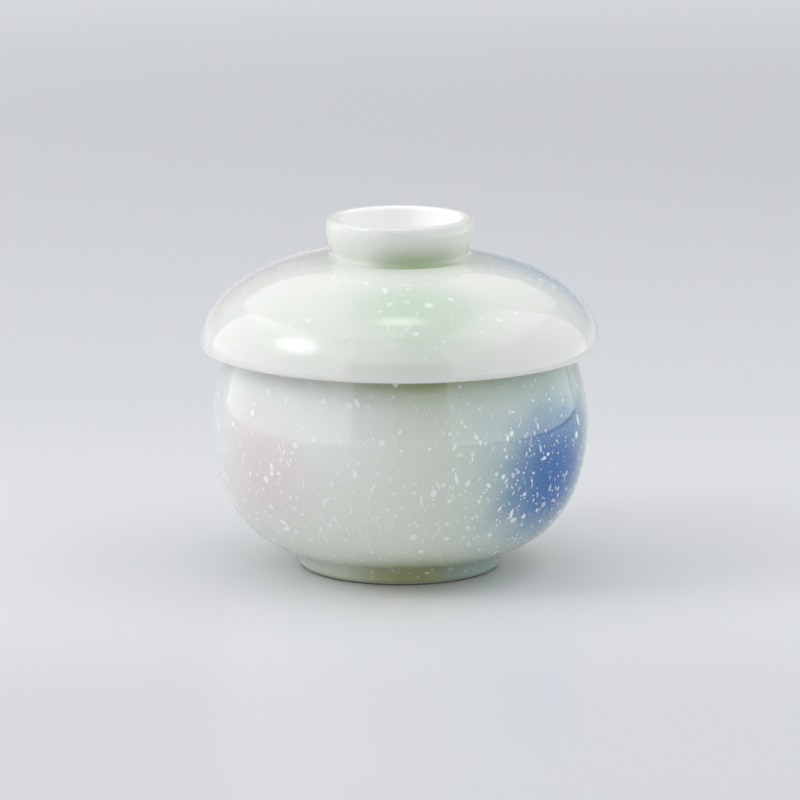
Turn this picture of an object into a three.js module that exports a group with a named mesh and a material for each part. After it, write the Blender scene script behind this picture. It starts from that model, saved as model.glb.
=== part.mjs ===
// A round porcelain rice bowl with an overlapping domed lid, in millimetres, +Z up.
// The origin is the centre of the ring that the foot stands on. Both pieces are turned
// forms: the bowl with its foot ring is one fired piece, and so is the lid with its ring knob.
import * as THREE from "three";

const segments = 48; // facets around each turned piece
const fillet = 1.2; // size of the inner corners, which the glaze fills

// Foot: the ring that the bowl stands on
const footRadius = 26.3;
const footHeight = 4.4;
const footFlare = 0.6; // the ring is this much wider where it meets the belly
const footLand = 2; // width of the flat resting face
const footEdge = 0.7; // rounding of the resting face's two edges
const footWidth = 3.9; // from the ring's outer side to the hollow under the bowl
const footHollow = 3.2; // height of the underside inside the ring

// Bowl: belly, shoulder and rim
const bowlRadius = 50;
const bellyHeight = 40.2; // height of the widest circle
const bellySpread = 8.9; // how far the belly's curve first runs outwards from the foot
const bellyLift = 2.1; // and how far it rises over that run
const bellyFullness = 26.8; // how far down from the widest circle it stays nearly upright
const shoulderRise = 8; // how far up from there the shoulder stays nearly upright
const neckLength = 10.9; // and how far down from the rim
const rimWall = 2.8;
const bellyWall = 3.2;
const baseWall = 4.2;
const floorHeight = 7.2; // the lowest point inside the bowl

// Lid: a dome whose lip is its widest circle
const lidRadius = 53;
const lipHeight = 60; // height of the widest circle when the lid is on
const lipDrop = 0.85; // how far the rounded lip reaches below it
const lipRise = 12.1; // how far up from the lip the dome stays nearly upright
const domeRise = 23.2; // from the widest circle up to the knob's root
const domeSpread = 18.2; // how far out from the knob's root the dome stays nearly level
const domeFall = 0.6; // and how far it falls over that run
const domeCrown = 0.3; // the middle of the underside's rise over the knob's root, less the wall
const lipWall = 2.7;
const domeWall = 3.2; // beside the knob

// The bowl's rim carries the dome at this stretch of its curve, from 0 at the lip to 1 at the knob
const seatPosition = 0.38;
const seatGap = 0.25;

// Knob: a ring like a second foot, widest a little below its crest
const knobRoot = 18.2; // outer radius at the dome
const knobRadius = 18; // to the middle of the crest
const knobBulge = 19.65; // the widest outer radius
const knobHeight = 10.4; // from its root to the crest
const knobLand = 0.8; // width of the flat on the crest
const knobShoulder = 3; // height of the rounding outside the crest
const knobLip = 1.5; // size of the rounding inside it
const knobFunnel = 1.5; // how much narrower the hollow inside the ring is at its floor
const knobDepth = 9; // of that hollow

const rimRounding = rimWall / 2;

// A point of an outline: its distance from the axis and its height.
function at(radius, height) {
  return new THREE.Vector2(radius, height);
}

// A rounded turn from one edge to the next around the vertex between them.
function corner(from, vertex, to) {
  return new THREE.QuadraticBezierCurve(from, vertex, to).getPoints(3);
}

// The point inside a wall that lies at a depth square to its outer curve. Outlines run outwards
// under a piece, then upwards and back to the axis, so the material is on their left.
function inside(curve, position, depth) {
  const inward = curve.getTangent(position).rotateAround(at(0, 0), Math.PI / 2);
  return curve.getPoint(position).addScaledVector(inward, depth);
}

// The inner face of a wall, from its outer curve's end back to its start.
function innerFace(curve, depthAtEnd, depthAtStart, steps) {
  return Array.from({ length: steps + 1 }, (_, step) => {
    const share = step / steps;
    return inside(curve, 1 - share, THREE.MathUtils.lerp(depthAtEnd, depthAtStart, share));
  });
}

// Joins the stretches of an outline, drops doubled points, and turns the outline about +Z.
function turned(name, color, stretches) {
  const outline = stretches
    .flat()
    .filter((point, index, all) => index === 0 || point.distanceTo(all[index - 1]) > 0.01);
  const geometry = new THREE.LatheGeometry(outline, segments);
  geometry.rotateX(Math.PI / 2);
  const glaze = new THREE.MeshStandardMaterial({ color, roughness: 0.15, metalness: 0 });
  const mesh = new THREE.Mesh(geometry, glaze);
  mesh.name = name;
  return mesh;
}

// The dome from the lip up to the knob's root, with heights over the widest circle.
const dome = new THREE.CubicBezierCurve(
  at(lidRadius, 0),
  at(lidRadius, lipRise),
  at(knobRoot + domeSpread, domeRise - domeFall),
  at(knobRoot, domeRise),
);

// The centre of the rim's rounding, where the rim just clears the underside of the dome.
function seatCentre() {
  const wall = THREE.MathUtils.lerp(lipWall, domeWall, seatPosition);
  return inside(dome, seatPosition, wall + seatGap + rimRounding).add(at(0, lipHeight));
}

function makeBowl() {
  const seat = seatCentre();
  const rimRadius = seat.x + rimRounding;
  const footTop = footRadius + footFlare;
  const belly = new THREE.CubicBezierCurve(
    at(footTop, footHeight),
    at(footTop + bellySpread, footHeight + bellyLift),
    at(bowlRadius, bellyHeight - bellyFullness),
    at(bowlRadius, bellyHeight),
  );
  const shoulder = new THREE.CubicBezierCurve(
    at(bowlRadius, bellyHeight),
    at(bowlRadius, bellyHeight + shoulderRise),
    at(rimRadius, seat.y - neckLength),
    at(rimRadius, seat.y),
  );
  const rim = new THREE.EllipseCurve(seat.x, seat.y, rimRounding, rimRounding, 0, Math.PI);

  const hollowRadius = footRadius - footWidth;
  const landOuter = footRadius - footEdge;
  const landInner = landOuter - footLand;
  const underside = [
    at(0, footHollow),
    ...corner(
      at(hollowRadius - fillet, footHollow),
      at(hollowRadius, footHollow),
      at(hollowRadius, footHollow - fillet),
    ),
    ...corner(at(hollowRadius, footEdge), at(hollowRadius, 0), at(landInner, 0)),
  ];
  const footSide = [
    ...corner(at(landOuter, 0), at(footRadius, 0), at(footRadius, footEdge)),
    ...corner(at(footTop, footHeight - fillet), at(footTop, footHeight), belly.getPoint(0.05)),
  ];

  // Inside the bowl, the floor carries on the belly's slope and levels out at the axis.
  const floorEdge = inside(belly, 0, baseWall);
  const floorRun = floorEdge.x / 4;
  const floor = new THREE.CubicBezierCurve(
    floorEdge,
    at(floorEdge.x - floorRun, floorEdge.y - (floorRun * bellyLift) / bellySpread),
    at(floorEdge.x / 2, floorHeight),
    at(0, floorHeight),
  );
  return turned("bowl", 0xcbd5cb, [
    underside,
    footSide,
    belly.getPoints(11).slice(1),
    shoulder.getPoints(8),
    rim.getPoints(6),
    innerFace(shoulder, rimWall, bellyWall, 7),
    innerFace(belly, bellyWall, baseWall, 9),
    floor.getPoints(4),
  ]);
}

function makeLid() {
  const crest = domeRise + knobHeight;
  const landOuter = knobRadius + knobLand / 2;
  const landInner = knobRadius - knobLand / 2;
  const hollowTop = landInner - knobLip;
  const hollowRadius = hollowTop - knobFunnel;
  const hollowFloor = crest - knobDepth;
  const lip = new THREE.EllipseCurve(
    lidRadius - lipWall / 2, 0, lipWall / 2, lipDrop, Math.PI, Math.PI * 2,
  );
  const knobSide = new THREE.CubicBezierCurve(
    at(knobRoot, domeRise + fillet),
    at(knobRoot, domeRise + 2 * fillet),
    at(knobBulge, crest - 2 * knobShoulder),
    at(knobBulge, crest - knobShoulder),
  );
  const knob = [
    ...corner(at(knobRoot + fillet, domeRise), at(knobRoot, domeRise), knobSide.getPoint(0)),
    ...knobSide.getPoints(4),
    ...corner(at(knobBulge, crest - knobShoulder), at(knobBulge, crest), at(landOuter, crest)),
    ...corner(at(landInner, crest), at(hollowTop, crest), at(hollowTop, crest - knobLip)),
    ...corner(
      at(hollowRadius, hollowFloor + fillet),
      at(hollowRadius, hollowFloor),
      at(hollowRadius - fillet, hollowFloor),
    ),
    at(0, hollowFloor),
  ];
  const lid = turned("lid", 0xd8ddd6, [
    at(0, domeRise + domeCrown - domeWall),
    innerFace(dome, domeWall, lipWall, 11),
    lip.getPoints(6),
    dome.getPoints(13),
    knob,
  ]);
  lid.position.z = lipHeight;
  return lid;
}

const riceBowl = new THREE.Group();
riceBowl.add(makeBowl());
riceBowl.add(makeLid());

export default riceBowl;
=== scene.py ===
"""A lidded porcelain rice bowl: celadon glaze, airbrushed clouds of colour and white splashes."""
import math

import bpy
import numpy as np
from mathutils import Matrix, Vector


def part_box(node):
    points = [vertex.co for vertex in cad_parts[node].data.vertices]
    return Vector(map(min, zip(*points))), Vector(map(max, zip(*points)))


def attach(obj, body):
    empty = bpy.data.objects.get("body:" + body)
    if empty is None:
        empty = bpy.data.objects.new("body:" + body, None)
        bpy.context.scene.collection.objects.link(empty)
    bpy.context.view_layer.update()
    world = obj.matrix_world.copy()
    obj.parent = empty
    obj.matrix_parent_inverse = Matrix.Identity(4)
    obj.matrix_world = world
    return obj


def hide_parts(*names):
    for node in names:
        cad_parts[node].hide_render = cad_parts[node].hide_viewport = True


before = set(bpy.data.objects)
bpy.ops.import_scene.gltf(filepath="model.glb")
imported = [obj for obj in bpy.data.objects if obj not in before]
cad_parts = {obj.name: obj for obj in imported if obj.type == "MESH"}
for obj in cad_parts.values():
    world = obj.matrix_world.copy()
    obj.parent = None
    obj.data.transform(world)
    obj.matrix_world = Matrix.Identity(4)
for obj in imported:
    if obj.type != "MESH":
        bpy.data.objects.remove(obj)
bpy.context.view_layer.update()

MM = 0.001

# Driving dimensions, from the frame, in millimetres
bowl_low, bowl_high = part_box("bowl")
lid_low, lid_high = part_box("lid")
BOWL_RADIUS = bowl_high.x / MM
RIM_TOP = bowl_high.z / MM
LID_RADIUS = lid_high.x / MM
LIP_BOTTOM = lid_low.z / MM
CREST = lid_high.z / MM

# Bowl
FOOT_RADIUS = 0.526 * BOWL_RADIUS
FOOT_TOP = 0.538 * BOWL_RADIUS  # radius where the ring meets the belly
FOOT_HEIGHT = 4.4
FOOT_EDGE = 0.7
FOOT_LAND = 2.0
FOOT_WIDTH = 3.9
FOOT_HOLLOW = 3.2
BELLY_HEIGHT = 40.2
BELLY_SPREAD = 8.9
BELLY_LIFT = 2.1
BELLY_FULLNESS = 26.8
SHOULDER_RISE = 8.0
NECK_LENGTH = 10.9
RIM_WALL = 2.8
RIM_MIDDLE = 0.8713 * BOWL_RADIUS  # radius of the middle of the rim's wall
BELLY_WALL = 3.2
BASE_WALL = 4.2
FLOOR_HEIGHT = 7.2

# Lid
LIP_WALL = 2.7
LIP_DROP = 0.85
LIP_HEIGHT = LIP_BOTTOM + LIP_DROP
DOME_WALL = 3.2
LIP_RISE = 12.1
DOME_SPREAD = 18.2
DOME_FALL = 0.6
DOME_CROWN = 0.3
KNOB_HEIGHT = 10.4
KNOB_ROOT = 18.2
KNOB_RADIUS = 18.0
KNOB_BULGE = 19.65
KNOB_SHOULDER = 3.0
KNOB_LAND = 0.8
KNOB_LIP = 1.5
KNOB_FUNNEL = 1.5
KNOB_DEPTH = 9.0
DOME_TOP = CREST - KNOB_HEIGHT

FILLET = 1.2
FOOT_FILLET = 2.7 * FILLET
AROUND = 288  # steps around a turned piece


# ---------------------------------------------------------------- outlines, in millimetres

def bezier(start, start_handle, end_handle, end, steps):
    """Points along a cubic curve, without its first point."""
    t = np.linspace(0, 1, steps + 1)[1:, None]
    a, b, c, d = (np.array(p, float) for p in (start, start_handle, end_handle, end))
    return (1 - t) ** 3 * a + 3 * (1 - t) ** 2 * t * b + 3 * (1 - t) * t * t * c + t ** 3 * d


def arc(centre, radii, start, end, steps):
    """Points along part of an ellipse, without its first point. Angles are in degrees."""
    angle = np.radians(np.linspace(start, end, steps + 1)[1:])
    return np.stack([centre[0] + radii[0] * np.cos(angle), centre[1] + radii[1] * np.sin(angle)], 1)


def line(start, end, steps):
    """Points along a straight stretch, without its first point."""
    t = np.linspace(0, 1, steps + 1)[1:, None]
    return np.array(start, float) * (1 - t) + np.array(end, float) * t


def corner(start, vertex, end, steps=6):
    """A rounded turn from one edge to the next."""
    t = np.linspace(0, 1, steps + 1)[1:, None]
    a, b, c = (np.array(p, float) for p in (start, vertex, end))
    return (1 - t) ** 2 * a + 2 * (1 - t) * t * b + t * t * c


def inner_face(outer, depth_at_end, depth_at_start):
    """The inner face of a wall, from its outer curve's end back to its start."""
    along = np.gradient(outer, axis=0)
    along /= np.linalg.norm(along, axis=1)[:, None]
    inward = np.stack([-along[:, 1], along[:, 0]], 1)
    depth = np.linspace(depth_at_start, depth_at_end, len(outer))[:, None]
    return (outer + inward * depth)[::-1]


def smooth(value, low, high):
    t = np.clip((value - low) / (high - low), 0, 1)
    return t * t * (3 - 2 * t)


class Outline:
    """Half a section through a turned piece, from the axis under it, round its outside to the axis
    above it. Each stretch is named, so that glaze can be told by where it is."""

    def __init__(self, start):
        self.points = [np.array([start], float)]
        self.parts = [np.array(["start"])]

    def add(self, part, points):
        self.points.append(points)
        self.parts.append(np.array([part] * len(points)))

    def finish(self):
        self.points = np.concatenate(self.points)
        self.parts = np.concatenate(self.parts)
        return self


dome = np.concatenate([
    [[LID_RADIUS, LIP_HEIGHT]],
    bezier((LID_RADIUS, LIP_HEIGHT), (LID_RADIUS, LIP_HEIGHT + LIP_RISE),
           (KNOB_ROOT + DOME_SPREAD, DOME_TOP - DOME_FALL), (KNOB_ROOT, DOME_TOP), 72),
])


def bowl_outline():
    rim_rounding = RIM_WALL / 2
    rim_centre = (RIM_MIDDLE, RIM_TOP - rim_rounding)
    rim_radius = rim_centre[0] + rim_rounding
    hollow = FOOT_RADIUS - FOOT_WIDTH
    land_outer = FOOT_RADIUS - FOOT_EDGE
    land_inner = land_outer - FOOT_LAND
    belly = bezier((FOOT_TOP, FOOT_HEIGHT), (FOOT_TOP + BELLY_SPREAD, FOOT_HEIGHT + BELLY_LIFT),
                   (BOWL_RADIUS, BELLY_HEIGHT - BELLY_FULLNESS), (BOWL_RADIUS, BELLY_HEIGHT), 80)
    shoulder = bezier((BOWL_RADIUS, BELLY_HEIGHT), (BOWL_RADIUS, BELLY_HEIGHT + SHOULDER_RISE),
                      (rim_radius, rim_centre[1] - NECK_LENGTH), (rim_radius, rim_centre[1]), 36)
    floor_edge = inner_face(belly, BELLY_WALL, BASE_WALL)[-1]

    o = Outline((0, FOOT_HOLLOW))
    o.add("hollow", line((0, FOOT_HOLLOW), (hollow - FILLET, FOOT_HOLLOW), 12))
    o.add("hollow", corner((hollow - FILLET, FOOT_HOLLOW), (hollow, FOOT_HOLLOW),
                           (hollow, FOOT_HOLLOW - FILLET)))
    o.add("hollow", line((hollow, FOOT_HOLLOW - FILLET), (hollow, FOOT_EDGE), 3))
    o.add("land", corner((hollow, FOOT_EDGE), (hollow, 0), (land_inner, 0)))
    o.add("land", line((land_inner, 0), (land_outer, 0), 4))
    o.add("land", corner((land_outer, 0), (FOOT_RADIUS, 0), (FOOT_RADIUS, FOOT_EDGE)))
    crease = (FOOT_TOP, FOOT_HEIGHT - FOOT_FILLET)
    o.add("foot", line((FOOT_RADIUS, FOOT_EDGE), crease, 3))
    o.add("foot", corner(crease, (FOOT_TOP, FOOT_HEIGHT), belly[11], 18))
    o.add("outside", belly[12:])
    o.add("outside", shoulder)
    o.add("rim", arc(rim_centre, (rim_rounding, rim_rounding), 0, 180, 18))
    o.add("inside", inner_face(shoulder, RIM_WALL, BELLY_WALL)[1::2])
    o.add("inside", inner_face(belly, BELLY_WALL, BASE_WALL)[::2])
    run = floor_edge[0] / 4
    fall = run * BELLY_LIFT / BELLY_SPREAD
    o.add("inside", bezier(floor_edge, (floor_edge[0] - run, floor_edge[1] - fall),
                           (floor_edge[0] / 2, FLOOR_HEIGHT), (0, FLOOR_HEIGHT), 24))
    return o.finish()


def lid_outline():
    land_outer = KNOB_RADIUS + KNOB_LAND / 2
    land_inner = KNOB_RADIUS - KNOB_LAND / 2
    hollow_top = land_inner - KNOB_LIP
    hollow = hollow_top - KNOB_FUNNEL
    hollow_floor = CREST - KNOB_DEPTH
    bulge_height = CREST - KNOB_SHOULDER
    crown = DOME_TOP + DOME_CROWN - DOME_WALL
    underside = inner_face(dome, DOME_WALL, LIP_WALL)

    o = Outline((0, crown))
    o.add("inside", line((0, crown), underside[0], 16))
    o.add("inside", underside[1:])
    o.add("lip", arc((LID_RADIUS - LIP_WALL / 2, LIP_HEIGHT), (LIP_WALL / 2, LIP_DROP), 180, 360, 20))
    o.add("outside", dome[1:-3])
    o.add("knob", corner(dome[-4], (KNOB_ROOT, DOME_TOP), (KNOB_ROOT, DOME_TOP + FILLET), 8))
    o.add("knob", bezier((KNOB_ROOT, DOME_TOP + FILLET), (KNOB_ROOT, DOME_TOP + 2 * FILLET),
                         (KNOB_BULGE, bulge_height - KNOB_SHOULDER), (KNOB_BULGE, bulge_height), 14))
    o.add("knob", corner((KNOB_BULGE, bulge_height), (KNOB_BULGE, CREST), (land_outer, CREST), 12))
    o.add("crest", line((land_outer, CREST), (land_inner, CREST), 2))
    o.add("well", corner((land_inner, CREST), (hollow_top, CREST), (hollow_top, CREST - KNOB_LIP), 8))
    o.add("well", line((hollow_top, CREST - KNOB_LIP), (hollow, hollow_floor + FILLET), 8))
    o.add("well", corner((hollow, hollow_floor + FILLET), (hollow, hollow_floor),
                         (hollow - FILLET, hollow_floor), 8))
    o.add("well", line((hollow - FILLET, hollow_floor), (0, hollow_floor), 12))
    return o.finish()


# ---------------------------------------------------------------- glaze, by where it lies

def near(points, radius, height, reach):
    """1 at a circle about the axis, falling off smoothly over the reach."""
    distance = np.hypot(points[:, 0] - radius, points[:, 1] - height)
    return np.exp(-(distance / reach) ** 2)


def bowl_glaze(points, parts):
    """How thick the glaze has pooled, with painted shade added under the lid's rim and towards the foot,
    how bare the clay is, and where the clouds are sprayed.
    """
    height = points[:, 1]
    outside = np.isin(parts, ["outside", "foot"])
    # Towards the foot the glaze is pooled, and it is also painted darker there as shade near the table.
    pool_and_shade = 0.17 + 0.05 * smooth(height, 44, 15) + 0.46 * smooth(height, 10, 1) * outside
    # Painted shade: an olive band on the bowl under the lid's rim, where the lid shades it, fading again
    # at the rim.
    pool_and_shade += 0.75 * smooth(height, 50, 59) * smooth(height, 68, 63)
    pool_and_shade = np.where(np.isin(parts, ["inside", "hollow"]), 0.12, pool_and_shade)
    pool_and_shade += 0.5 * near(points, 0, FLOOR_HEIGHT, 14) * (parts == "inside")
    # The bare land is coloured dark in the material: painted shadow where the foot meets the table.
    bare = (parts == "land") * smooth(height, 0.6, 0.4)
    return {"pool_and_shade": np.clip(pool_and_shade, 0, 1), "bare": bare, "sprayed": outside.astype(float),
            "knob": 0 * pool_and_shade, "well": 0 * pool_and_shade}


def lid_glaze(points, parts):
    outside = parts == "outside"
    on_knob = parts == "knob"
    pool_and_shade = 0.12 + 0.12 * near(points, KNOB_ROOT, DOME_TOP + 0.6, 1.5) * (outside | on_knob)
    pool_and_shade = np.where(parts == "lip", 0.0, pool_and_shade)
    knob = on_knob * smooth(points[:, 1], DOME_TOP + 0.85 * KNOB_HEIGHT, DOME_TOP)
    well = np.isin(parts, ["well", "crest"]).astype(float)
    return {"pool_and_shade": np.clip(pool_and_shade, 0, 1), "bare": 0 * pool_and_shade, "sprayed": outside.astype(float),
            "knob": knob, "well": well}


# ---------------------------------------------------------------- turned meshes

OVALNESS = 0.0007  # how far a thrown wall strays from a true circle, as a share of its radius
WAVINESS = 0.0004


def wobble(azimuth, height):
    """A thrown wall's stray from a true circle, two bulges round it and three that drift with height."""
    return OVALNESS * np.sin(2 * azimuth + 0.8) + WAVINESS * np.sin(3 * azimuth + height * 0.05)


def place(radius, height, azimuth):
    """Points in metres. Azimuth is in radians, 0 at the front (-Y) and growing to the right (+X)."""
    r = radius * (1 + wobble(azimuth, height))
    return np.stack([r * np.sin(azimuth), -r * np.cos(azimuth), height + 0 * r], -1) * MM


def new_mesh(name, vertices, faces, values, material):
    mesh = bpy.data.meshes.new(name)
    mesh.from_pydata(vertices, [], faces)
    mesh.polygons.foreach_set("use_smooth", [True] * len(mesh.polygons))
    for key, value in values.items():
        layer = mesh.attributes.new(key, "FLOAT", "POINT")
        layer.data.foreach_set("value", np.asarray(value, np.float32))
    mesh.materials.append(material)
    mesh.validate()
    mesh.update()
    piece = bpy.data.objects.new(name, mesh)
    bpy.context.scene.collection.objects.link(piece)
    return piece


def turned(name, outline, glaze_values, material):
    """Turns an outline about the axis. Its first and last points lie on the axis."""
    points = outline.points
    azimuth = np.linspace(0, 2 * math.pi, AROUND, endpoint=False)
    rings = points[1:-1]
    grid = place(rings[:, 0][:, None], rings[:, 1][:, None], azimuth[None, :]).reshape(-1, 3)
    poles = np.array([[0, 0, points[0, 1]], [0, 0, points[-1, 1]]]) * MM
    vertices = np.concatenate([grid, poles])
    bottom = len(grid)
    top = bottom + 1
    faces = []
    for ring in range(len(rings) - 1):
        base = ring * AROUND
        for step in range(AROUND):
            after = (step + 1) % AROUND
            faces.append((base + step, base + after, base + AROUND + after, base + AROUND + step))
    last = (len(rings) - 1) * AROUND
    for step in range(AROUND):
        after = (step + 1) % AROUND
        faces.append((bottom, after, step))
        faces.append((top, last + step, last + after))
    values = {}
    for key, value in glaze_values.items():
        values[key] = np.concatenate([np.repeat(value[1:-1], AROUND), value[[0, -1]]])
    values["splash"] = np.zeros(len(vertices))
    values["speck"] = np.zeros(len(vertices))
    return new_mesh(name, vertices.tolist(), faces, values, material)


# ---------------------------------------------------------------- splashes of white glaze

SLOPE_STEP = 0.05  # distance over which a surface's slope is taken


class Skin:
    """The outer surface that splashes lie on: positions by azimuth and by distance along the outline."""

    def __init__(self, outline, glaze_values, parts):
        keep = np.isin(outline.parts, parts)
        self.points = outline.points[keep]
        steps = np.linalg.norm(np.diff(self.points, axis=0), axis=1)
        self.along = np.concatenate([[0], np.cumsum(steps)])
        self.length = self.along[-1]
        self.values = {key: v[keep] for key, v in glaze_values.items()}

    def at(self, along):
        """The radius and height at a distance along the outline."""
        radius = np.interp(along, self.along, self.points[:, 0])
        height = np.interp(along, self.along, self.points[:, 1])
        return radius, height

    def along_at_height(self, height):
        order = np.argsort(self.points[:, 1])
        return float(np.interp(height, self.points[order, 1], self.along[order]))

    def lift(self, azimuth, along, height):
        """Points at a height over the surface."""
        radius, z = self.at(along)
        ahead_r, ahead_z = self.at(along + SLOPE_STEP)
        behind_r, behind_z = self.at(along - SLOPE_STEP)
        dr, dz = ahead_r - behind_r, ahead_z - behind_z
        size = np.hypot(dr, dz)
        return place(radius + height * dz / size, z - height * dr / size, azimuth)

    def glaze(self, along):
        return {key: np.interp(along, self.along, v) for key, v in self.values.items()}


BURIED = 0.012  # how far a splash's edge lies under the surface
SPLASH_FLOAT = 0.006  # how far its inner rings lie over the surface at the least
SPLASH_HEIGHT = 0.012
SPLASH_SWELL = 0.015  # how much thicker a splash is for each millimetre of its width
SPLASH_THICKEST = 0.04
SMALL_SPLASH = 0.9  # a shorter one has two rings of points, a longer one three


def splash_shape(rng, length, width, sides):
    """The outline of one splash, as offsets in millimetres along and across its long axis."""
    angle = np.linspace(0, 2 * math.pi, sides, endpoint=False)
    ragged = 0.05 + 0.16 * rng.random() ** 2
    reach = np.ones(sides)
    for lobes in (2, 3, 4):
        turn = rng.uniform(0, 2 * math.pi)
        reach += ragged / (lobes - 1) * np.cos(lobes * angle + turn) * rng.random()
    u = length / 2 * np.cos(angle) * reach
    v = width / 2 * np.sin(angle) * reach
    if length > 2.2 * width:  # drawn-out splashes are thinner at one end
        v *= 1 - 0.55 * (u / (length / 2)) * rng.uniform(-1, 1)
    return u, v


def splashes(name, skin, spots, material):
    """One piece holding a thin, soft-edged lens for each spot."""
    rng = np.random.default_rng(len(spots))
    vertices, faces, count = [], [], 0
    values = {key: [] for key in ["splash", "speck"] + list(skin.values)}
    for azimuth, along, length, width, tilt, strength, speck in spots:
        sides = int(np.clip(5 + 5 * length, 7, 24))
        rings = (1.0, 0.8) if length < SMALL_SPLASH else (1.0, 0.88, 0.55)
        u, v = splash_shape(rng, length, width, sides)
        height = 0.0 if speck else min(SPLASH_HEIGHT + SPLASH_SWELL * width, SPLASH_THICKEST)
        across = u * math.cos(tilt) - v * math.sin(tilt)
        up = u * math.sin(tilt) + v * math.cos(tilt)
        share = np.repeat(np.append(rings, [0, 0]), [sides] * len(rings) + [1, 1])
        across = np.concatenate([np.tile(across, len(rings)), [0, 0]]) * share
        up = np.concatenate([np.tile(up, len(rings)), [0, 0]]) * share
        lifted = height * np.sqrt(np.clip(1 - share ** 2, 0, 1)) + SPLASH_FLOAT
        lifted[:sides] = -BURIED
        lifted[-1] = -3 * BURIED
        s = along + up
        radius, _ = skin.at(s)
        where = skin.lift(azimuth + across / radius, s, lifted)
        vertices.append(where)
        shade = strength * smooth(share, 1.0, 0.82)
        values["splash"].append(shade * (1 - speck))
        values["speck"].append(shade * speck)
        for key, glaze_value in skin.glaze(s).items():
            values[key].append(glaze_value)
        for ring in range(len(rings) - 1):
            base = count + ring * sides
            for step in range(sides):
                after = (step + 1) % sides
                faces.append((base + step, base + after, base + sides + after, base + sides + step))
        inner = count + (len(rings) - 1) * sides
        top = count + len(rings) * sides
        for step in range(sides):
            after = (step + 1) % sides
            faces.append((inner + step, inner + after, top))
            faces.append((count + after, count + step, top + 1))
        count += len(where)
    flat = {key: np.concatenate(v) for key, v in values.items()}
    return new_mesh(name, np.concatenate(vertices).tolist(), faces, flat, material)


ROUND_SHARE = 0.62  # of the splashes, how many are round
ROUND_OR_OVAL_SHARE = 0.95  # and how many are round or oval; the rest are streaks
SPECK_SHARE = 0.002  # how many are dark specks in the glaze
SMALLEST_SPLASH = 0.2
LARGE_SHARE = 0.6  # of the longest size, the least that a large splash has


def scatter(seed, skin, count, large, low, high, density, sizes, strengths, tilt_spread):
    """Random spots over a skin, the large ones first. Spots don't lie on one another. Sizes are
    the middle length in millimetres, how much lengths vary, and the longest; strengths are the
    faintest and the whitest; the spread of tilts is in degrees."""
    rng = np.random.default_rng(seed)
    spots, centres = [], []

    def put(azimuth, along, length, width, tilt, strength, speck):
        centre = skin.lift(np.array([azimuth]), np.array([along]), 0)[0] / MM
        reach = 0.5 * math.sqrt(length * width)
        if centres:
            others = np.array(centres)
            gap = np.linalg.norm(others[:, :3] - centre, axis=1) - others[:, 3] - reach
            if gap.min() < -0.1 * reach:
                return
        centres.append((*centre, reach))
        spots.append((azimuth, along, length, width, tilt, strength, speck))

    widest = skin.points[:, 0].max()
    tries = 0
    while len(spots) < count and tries < 60 * count:
        tries += 1
        azimuth = rng.uniform(-math.pi, math.pi)
        along = rng.uniform(low, high)
        radius, height = skin.at(along)
        if rng.random() > radius / widest * density(azimuth, height):
            continue
        size = float(np.clip(rng.lognormal(math.log(sizes[0]), sizes[1]), SMALLEST_SPLASH, sizes[2]))
        is_large = len(spots) < large
        if is_large:
            size = sizes[2] * rng.uniform(LARGE_SHARE, 1.0)
        kind = rng.random()
        if kind < ROUND_SHARE:
            length, width = size, size * rng.uniform(0.75, 1.0)
        elif kind < ROUND_OR_OVAL_SHARE:
            length, width = size * rng.uniform(1.1, 1.8), size * rng.uniform(0.45, 0.7)
        else:
            length, width = rng.uniform(1.6, 4.2), rng.uniform(0.22, 0.40)
        tilt = math.pi / 2 + rng.normal(0, math.radians(tilt_spread))
        if kind < ROUND_SHARE:
            tilt = rng.uniform(0, math.pi)
        strength = strengths[1] if is_large else rng.uniform(*strengths)
        speck = 1 if rng.random() < SPECK_SHARE else 0
        if speck:
            length = width = rng.uniform(0.18, 0.32)
        put(azimuth, float(along), length, width, tilt, strength, speck)
    return spots


# ---------------------------------------------------------------- materials

def node(tree, kind, inputs=None, **settings):
    """Adds a node. An input's value is a number, a colour or another node's output."""
    new = tree.nodes.new(kind)
    for key, value in settings.items():
        setattr(new, key, value)
    for key, value in (inputs or {}).items():
        if isinstance(value, bpy.types.NodeSocket):
            tree.links.new(value, new.inputs[key])
        else:
            new.inputs[key].default_value = value
    return new


def maths(tree, operation, *values):
    new = tree.nodes.new("ShaderNodeMath")
    new.operation = operation
    for slot, value in enumerate(values):
        if isinstance(value, bpy.types.NodeSocket):
            tree.links.new(value, new.inputs[slot])
        else:
            new.inputs[slot].default_value = value
    return new.outputs[0]


def mixed(tree, factor, first, second):
    """A colour between two others."""
    new = tree.nodes.new("ShaderNodeMix")
    new.data_type = "RGBA"
    for slot, value in ((0, factor), (6, first), (7, second)):
        if isinstance(value, bpy.types.NodeSocket):
            tree.links.new(value, new.inputs[slot])
        else:
            new.inputs[slot].default_value = value
    return new.outputs[2]


def ramp(tree, value, low, high, first, last):
    """A smooth step from one number to another as the value goes from low to high."""
    new = tree.nodes.new("ShaderNodeMapRange")
    new.interpolation_type = "SMOOTHERSTEP"
    for slot, given in zip((0, 1, 2, 3, 4), (value, low, high, first, last)):
        if isinstance(given, bpy.types.NodeSocket):
            tree.links.new(given, new.inputs[slot])
        else:
            new.inputs[slot].default_value = given
    return new.outputs[0]


def noise(tree, where, scale, detail, roughness=0.5):
    return node(tree, "ShaderNodeTexNoise", {"Vector": where, "Scale": scale, "Detail": detail,
                                             "Roughness": roughness}).outputs["Fac"]


def attribute(tree, name):
    return node(tree, "ShaderNodeAttribute", attribute_name=name).outputs["Fac"]


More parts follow.
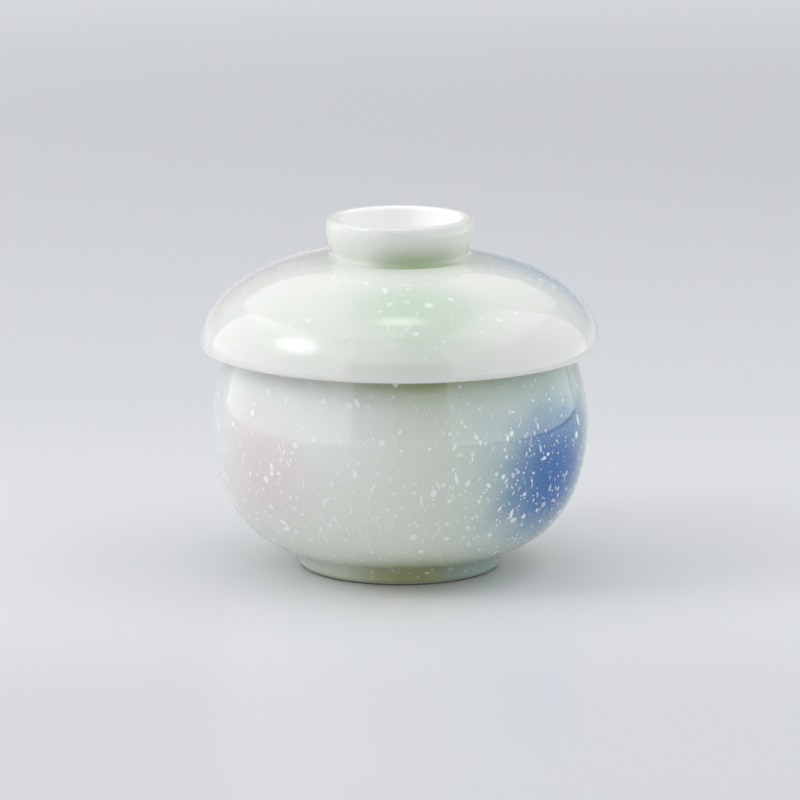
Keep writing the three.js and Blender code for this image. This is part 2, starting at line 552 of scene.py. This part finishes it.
WHITE = (0.76, 0.77, 0.745, 1)
CELADON = (0.60, 0.67, 0.54, 1)
# Olive of pooled glaze, also used for painted shade.
POOLED_GLAZE_AND_SHADE = (0.35, 0.38, 0.13, 1)
SPLASH = (0.86, 0.88, 0.89, 1)
SPECK = (0.10, 0.08, 0.06, 1)
# Dark brown for the bare land, a painted contact shadow.
CLAY_IN_PAINTED_SHADOW = (0.15, 0.13, 0.10, 1)
PALE = (0.70, 0.71, 0.715, 1)
# Whiter glaze for the knob's hollow, painted light.
WELL_PAINTED_LIGHT = (0.91, 0.92, 0.90, 1)
PAINTED_BOUNCE_LIGHT = (0.77, 0.81, 0.71, 1)
PINK = (0.64, 0.50, 0.55, 1)
BLUE = (0.002, 0.12, 0.39, 1)
TEAL = (0.31, 0.50, 0.54, 1)
MIST = (0.36, 0.47, 0.62, 1)
GREEN = (0.40, 0.58, 0.42, 1)
MOSS = (0.20, 0.33, 0.10, 1)

GLAZE_IOR = 1.62
CLAY_ROUGHNESS = 0.62


def porcelain(name, clouds, whiteness):
    """Glazed porcelain. Each cloud is a colour, a centre in metres, a reach in metres, a strength and
    the attribute that says where it lies. A few clouds are painted shade and painted light, not sprayed
    colour."""
    material = bpy.data.materials.new(name)
    material.use_nodes = True
    tree = material.node_tree
    shader = tree.nodes["Principled BSDF"]
    where = node(tree, "ShaderNodeTexCoord").outputs["Object"]
    pool_and_shade = attribute(tree, "pool_and_shade")
    bare = attribute(tree, "bare")

    drift = noise(tree, where, 28, 3)
    # Thicker glaze turns celadon and then olive; this channel also carries painted shade under the lid's
    # rim and at the foot.
    thickness_and_shade = maths(tree, "ADD", pool_and_shade, ramp(tree, drift, 0.3, 0.7, -0.05, 0.05))
    colour = mixed(tree, ramp(tree, thickness_and_shade, 0.0, 0.55, 1 - whiteness, 1.0), WHITE, CELADON)
    colour = mixed(tree, ramp(tree, thickness_and_shade, 0.5, 1.15, 0.0, 1.0), colour, POOLED_GLAZE_AND_SHADE)

    mist = noise(tree, where, 1500, 2, 0.6)
    edge = noise(tree, where, 60, 2)
    for tint, centre, reach, strength, where_sprayed in clouds:
        away = node(tree, "ShaderNodeVectorMath", {0: where, 1: centre}, operation="DISTANCE")
        away = maths(tree, "MULTIPLY", away.outputs["Value"], ramp(tree, edge, 0.25, 0.75, 0.88, 1.12))
        cover = ramp(tree, away, 0.0, reach, strength, 0.0)
        cover = maths(tree, "MULTIPLY", cover, ramp(tree, mist, 0.3, 0.7, 0.93, 1.07))
        cover = maths(tree, "MULTIPLY", cover, attribute(tree, where_sprayed))
        colour = mixed(tree, cover, colour, tint)

    colour = mixed(tree, attribute(tree, "splash"), colour, SPLASH)
    colour = mixed(tree, attribute(tree, "speck"), colour, SPECK)
    # Painted shadow: the bare land under the foot is coloured dark brown.
    colour = mixed(tree, bare, colour, CLAY_IN_PAINTED_SHADOW)
    tree.links.new(colour, shader.inputs["Base Color"])

    fine = noise(tree, where, 900, 2)
    gloss = ramp(tree, fine, 0.2, 0.8, 0.03, 0.06)
    rough = node(tree, "ShaderNodeMix", {0: bare, 2: gloss, 3: CLAY_ROUGHNESS}).outputs[0]
    tree.links.new(rough, shader.inputs["Roughness"])

    swell = noise(tree, where, 110, 2)
    relief = maths(tree, "ADD", swell, maths(tree, "MULTIPLY", fine, 0.05))
    bump = node(tree, "ShaderNodeBump", {"Height": relief, "Strength": 0.35, "Distance": 0.00006})
    tree.links.new(bump.outputs["Normal"], shader.inputs["Normal"])
    shader.inputs["IOR"].default_value = GLAZE_IOR
    return material


def on_surface(skin, degrees, height):
    """A point on a skin, in metres, for the centre of a cloud."""
    along = np.array([skin.along_at_height(height)])
    return tuple(skin.lift(np.array([math.radians(degrees)]), along, 0)[0])


# ---------------------------------------------------------------- the pieces

def make_bowl():
    outline = bowl_outline()
    values = bowl_glaze(outline.points, outline.parts)
    skin = Skin(outline, values, ["foot", "outside"])
    clouds = [
        (PALE, on_surface(skin, -58, 46), 0.066, 0.85, "sprayed"),
        (SPLASH, on_surface(skin, -30, 48), 0.034, 0.30, "sprayed"),
        (TEAL, on_surface(skin, 56, 36), 0.054, 0.68, "sprayed"),
        (PINK, on_surface(skin, -49, 32), 0.028, 0.48, "sprayed"),
        (PINK, on_surface(skin, -33, 27), 0.022, 0.20, "sprayed"),
        (BLUE, on_surface(skin, 46, 31), 0.023, 0.38, "sprayed"),
        (BLUE, on_surface(skin, 57, 30), 0.030, 1.0, "sprayed"),
        (GREEN, on_surface(skin, 180, 35), 0.034, 0.8, "sprayed"),
        # Painted light: the lower belly at the front left is lightened as if lit from the table.
        (PAINTED_BOUNCE_LIGHT, on_surface(skin, -16, 11), 0.040, 0.5, "sprayed"),
        # Painted shade: the front of the foot is darkened to olive where it meets the table.
        (POOLED_GLAZE_AND_SHADE, on_surface(skin, 8, 1.5), 0.025, 0.78, "sprayed"),
        # Partly the blue spray spreading down, partly painted shade: the foot's right side is made darker
        # and bluer.
        (TEAL, on_surface(skin, 50, 1.0), 0.020, 0.6, "sprayed"),
    ]
    material = porcelain("bowl_glaze", clouds, 0.55)
    body = turned("bowl_porcelain", outline, values, material)

    def density(azimuth, height):
        degrees = math.degrees(azimuth)
        blue = math.exp(-((degrees - 50) / 26) ** 2 - ((height - 30) / 17) ** 2)
        low = math.exp(-((height - 20) / 12) ** 2)
        return 0.36 + 0.45 * blue + 0.40 * low

    spots = scatter(11, skin, 3600, 70, 1.0, skin.along_at_height(RIM_TOP - 4), density,
                    (0.60, 0.55, 2.4), (0.5, 1.0), 26)
    drops = splashes("bowl_splashes", skin, spots, material)
    return [body, drops]


def make_lid():
    outline = lid_outline()
    values = lid_glaze(outline.points, outline.parts)
    skin = Skin(outline, values, ["outside", "knob"])
    clouds = [
        (GREEN, on_surface(skin, -6, 77), 0.019, 0.40, "sprayed"),
        (GREEN, on_surface(skin, 12, 76.5), 0.022, 0.50, "sprayed"),
        (GREEN, on_surface(skin, 3, 66), 0.017, 0.16, "sprayed"),
        (PINK, on_surface(skin, -102, 77), 0.033, 0.5, "sprayed"),
        (MIST, on_surface(skin, 104, 77), 0.036, 0.8, "sprayed"),
        (MOSS, on_surface(skin, 16, DOME_TOP - 0.5), 0.024, 0.72, "knob"),
        # Painted light: the knob's hollow and crest are whitened, standing in for the light that fills the
        # hollow.
        (WELL_PAINTED_LIGHT, (0, 0, CREST * MM), 0.2, 1.0, "well"),
    ]
    material = porcelain("lid_glaze", clouds, 0.9)
    body = turned("lid_porcelain", outline, values, material)

    def density(azimuth, height):
        upper = smooth(np.array(height), LIP_HEIGHT, DOME_TOP - 3)
        return 0.2 + 0.6 * float(upper)

    low = 1.0
    high = skin.along_at_height(DOME_TOP - 0.3)
    spots = scatter(23, skin, 1100, 45, low, high, density,
                    (0.62, 0.55, 2.6), (0.28, 0.62), 30)
    drops = splashes("lid_splashes", skin, spots, material)
    return [body, drops]


for body_name, slot, pieces in (("bowl", "bowl_glaze", make_bowl()), ("lid", "lid_glaze", make_lid())):
    for piece in pieces:
        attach(piece, body_name)
    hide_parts(body_name)


# ---------------------------------------------------------------- studio

VIEW_ELEVATION = math.radians(11.6)
VIEW_DISTANCE = 1.425
VIEW_HEIGHT = 0.473 * CREST * MM  # of the point that the camera looks at
VIEW_LENS = 241.6


def make_camera():
    data = bpy.data.cameras.new("camera")
    data.lens = VIEW_LENS
    data.clip_end = 50
    camera = bpy.data.objects.new("camera", data)
    bpy.context.scene.collection.objects.link(camera)
    back = Vector((0, -math.cos(VIEW_ELEVATION), math.sin(VIEW_ELEVATION)))
    camera.location = Vector((0, 0, VIEW_HEIGHT)) + back * VIEW_DISTANCE
    camera.rotation_euler = (-back).to_track_quat("-Z", "Y").to_euler()
    bpy.context.scene.camera = camera


def direction(degrees):
    """A level direction, counted from the front (-Y) to the right (+X)."""
    angle = math.radians(degrees)
    return Vector((math.sin(angle), -math.cos(angle), 0))


def softbox(name, centre, facing, size, radiance, core=None):
    """A rectangular light. A core is a brighter spot: where it is across and up the light, from 0
    to 1, its reach across and up in metres, and how much brighter it is."""
    light = bpy.data.lights.new(name, "AREA")
    light.shape = "RECTANGLE"
    light.size, light.size_y = size
    light.energy = radiance * math.pi * size[0] * size[1]
    light.use_nodes = True
    tree = light.node_tree
    emission = tree.nodes["Emission"]
    if core:
        across, up, reach_across, reach_up, gain = core
        parametric = node(tree, "ShaderNodeNewGeometry").outputs["Parametric"]
        split = node(tree, "ShaderNodeSeparateXYZ", {0: parametric})
        dx = maths(tree, "SUBTRACT", split.outputs[0], across)
        dx = maths(tree, "MULTIPLY", dx, size[0] / reach_across)
        dy = maths(tree, "SUBTRACT", split.outputs[1], up)
        dy = maths(tree, "MULTIPLY", dy, size[1] / reach_up)
        square = maths(tree, "ADD", maths(tree, "MULTIPLY", dx, dx), maths(tree, "MULTIPLY", dy, dy))
        strength = ramp(tree, maths(tree, "SQRT", square), 0.0, 1.0, gain, 1.0)
        tree.links.new(strength, emission.inputs["Strength"])
    lamp = bpy.data.objects.new(name, light)
    lamp.location = centre
    lamp.rotation_euler = facing.to_track_quat("-Z", "Y").to_euler()
    lamp.visible_camera = False
    bpy.context.scene.collection.objects.link(lamp)


def strips(name, centre, facing, size, width):
    """A dark frame around an upright panel, seen only in reflections."""
    across = Vector((-facing.y, facing.x, 0)).normalized()
    up = Vector((0, 0, 1))
    half_across, half_up = size[0] / 2, size[1] / 2
    vertices, faces = [], []
    bars = [
        (-half_across, half_across, -half_up, -half_up + width),
        (-half_across, half_across, half_up - width, half_up),
        (-half_across, -half_across + width, -half_up, half_up),
        (half_across - width, half_across, -half_up, half_up),
    ]
    for left, right, bottom, top in bars:
        base = len(vertices)
        for x, z in ((left, bottom), (right, bottom), (right, top), (left, top)):
            vertices.append(centre + across * x + up * z + facing * 0.003)
        faces.append((base, base + 1, base + 2, base + 3))
    material = bpy.data.materials.new(name)
    material.use_nodes = True
    material.node_tree.nodes["Principled BSDF"].inputs["Base Color"].default_value = (0.02, 0.02, 0.02, 1)
    mesh = bpy.data.meshes.new(name)
    mesh.from_pydata(vertices, [], faces)
    mesh.materials.append(material)
    frame_piece = bpy.data.objects.new(name, mesh)
    frame_piece.visible_camera = False
    bpy.context.scene.collection.objects.link(frame_piece)


# Each side light's direction in degrees and its distance, width and height in metres
LEFT_TURN, LEFT_AWAY, LEFT_SIZE = -72, 0.75, (2.08, 1.1)
RIGHT_TURN, RIGHT_AWAY, RIGHT_SIZE = 82, 0.42, (1.04, 1.09)
FRAME_WIDTH = 0.012


def make_lights():
    across = direction(LEFT_TURN + 90)
    centre = direction(LEFT_TURN) * LEFT_AWAY + across * -0.36 + Vector((0, 0, LEFT_SIZE[1] / 2))
    softbox("left_softbox", centre, direction(LEFT_TURN + 180), LEFT_SIZE, 0.90,
            core=(0.68, 0.59, 0.37, 0.37, 6.7))
    across = direction(RIGHT_TURN + 90)
    centre = direction(RIGHT_TURN) * RIGHT_AWAY + across * -0.04 + Vector((0, 0, RIGHT_SIZE[1] / 2))
    softbox("right_panel", centre, direction(RIGHT_TURN + 180), RIGHT_SIZE, 0.70)
    strips("panel_frame", centre, direction(RIGHT_TURN + 180), RIGHT_SIZE, FRAME_WIDTH)
    softbox("overhead_softbox", Vector((0, 0.85, 1.2)), Vector((0, 0, -1)), (2.6, 2.55), 0.60,
            core=(0.5, 0.160, 0.30, 0.18, 5.8))


HORIZON = (0.62, 0.64, 0.68, 1)
BACKDROP = (0.38, 0.39, 0.40, 1)
ROOM = (0.33, 0.335, 0.34, 1)
DARK_ROOM = (0.07, 0.075, 0.07, 1)
FRONT_FILL = (0.72, 0.73, 0.74, 1)


def make_world():
    """Pale at the horizon and about half as bright above it, a little more at the back (+Y). In
    front (-Y) it is dark low down and bright higher up."""
    world = bpy.data.worlds.new("studio")
    bpy.context.scene.world = world
    world.use_nodes = True
    tree = world.node_tree
    toward = node(tree, "ShaderNodeTexCoord").outputs["Generated"]
    split = node(tree, "ShaderNodeSeparateXYZ", {0: toward})
    up = split.outputs[2]
    level = maths(tree, "SQRT", maths(tree, "SUBTRACT", 1.0, maths(tree, "MULTIPLY", up, up)))
    forward = maths(tree, "MULTIPLY", split.outputs[1], -1.0)
    front = maths(tree, "DIVIDE", forward, maths(tree, "MAXIMUM", level, 0.01))
    ahead = mixed(tree, ramp(tree, up, 0.3, 0.5, 0.0, 1.0), DARK_ROOM, FRONT_FILL)
    room = mixed(tree, ramp(tree, front, 0.80, 0.95, 0.0, 1.0), ROOM, ahead)
    behind = ramp(tree, front, -0.1, -0.45, 0.0, 1.0)
    lit = maths(tree, "MULTIPLY", behind, ramp(tree, up, 0.8, 0.6, 0.0, 1.0))
    room = mixed(tree, lit, room, BACKDROP)
    colour = mixed(tree, ramp(tree, up, 0.03, 0.12, 0.0, 1.0), HORIZON, room)
    background = tree.nodes["Background"]
    tree.links.new(colour, background.inputs["Color"])


TABLE = (0.74, 0.75, 0.775, 1)
TABLE_BACK_SHADE = (0.68, 0.695, 0.73, 1)
TABLE_FRONT_SHADE = (0.655, 0.663, 0.688, 1)
TABLE_REACH = 6.0


def make_floor():
    """A pale table. Where the lights don't reach it, far off and behind the panels, it glows as bright
    as they make it elsewhere, so that it looks plain from every side."""
    material = bpy.data.materials.new("table")
    material.use_nodes = True
    tree = material.node_tree
    shader = tree.nodes["Principled BSDF"]
    where = node(tree, "ShaderNodeTexCoord").outputs["Object"]
    depth = node(tree, "ShaderNodeSeparateXYZ", {0: where}).outputs[1]
    # Painted shade: the table's colour is darker in front of the bowl and behind it, evening out the light
    # that falls on it.
    tone = mixed(tree, ramp(tree, depth, 0.05, 0.25, 0.0, 1.0), TABLE, TABLE_BACK_SHADE)
    tone = mixed(tree, ramp(tree, depth, -0.03, -0.17, 0.0, 1.0), tone, TABLE_FRONT_SHADE)
    tree.links.new(tone, shader.inputs["Base Color"])
    length = node(tree, "ShaderNodeVectorMath", {0: where}, operation="LENGTH").outputs["Value"]
    glow = ramp(tree, length, 0.55, 2.2, 0.0, 0.48)
    for turn, away in ((LEFT_TURN, LEFT_AWAY), (RIGHT_TURN, RIGHT_AWAY)):
        reach = node(tree, "ShaderNodeVectorMath", {0: where, 1: direction(turn)}, operation="DOT_PRODUCT")
        behind = ramp(tree, reach.outputs["Value"], away - 0.004, away + 0.004, 0.0, 0.40)
        glow = maths(tree, "MAXIMUM", glow, behind)
    shader.inputs["Emission Color"].default_value = (0.95, 0.97, 1.0, 1)
    tree.links.new(glow, shader.inputs["Emission Strength"])
    shader.inputs["Roughness"].default_value = 0.3
    shader.inputs["IOR"].default_value = 1.25
    corners = [(-TABLE_REACH, -TABLE_REACH, 0), (TABLE_REACH, -TABLE_REACH, 0),
               (TABLE_REACH, TABLE_REACH, 0), (-TABLE_REACH, TABLE_REACH, 0)]
    mesh = bpy.data.meshes.new("table")
    mesh.from_pydata(corners, [], [(0, 1, 2, 3)])
    mesh.materials.append(material)
    table = bpy.data.objects.new("table", mesh)
    bpy.context.scene.collection.objects.link(table)


make_camera()
make_lights()
make_world()
make_floor()
bpy.context.scene.view_settings.view_transform = "Standard"
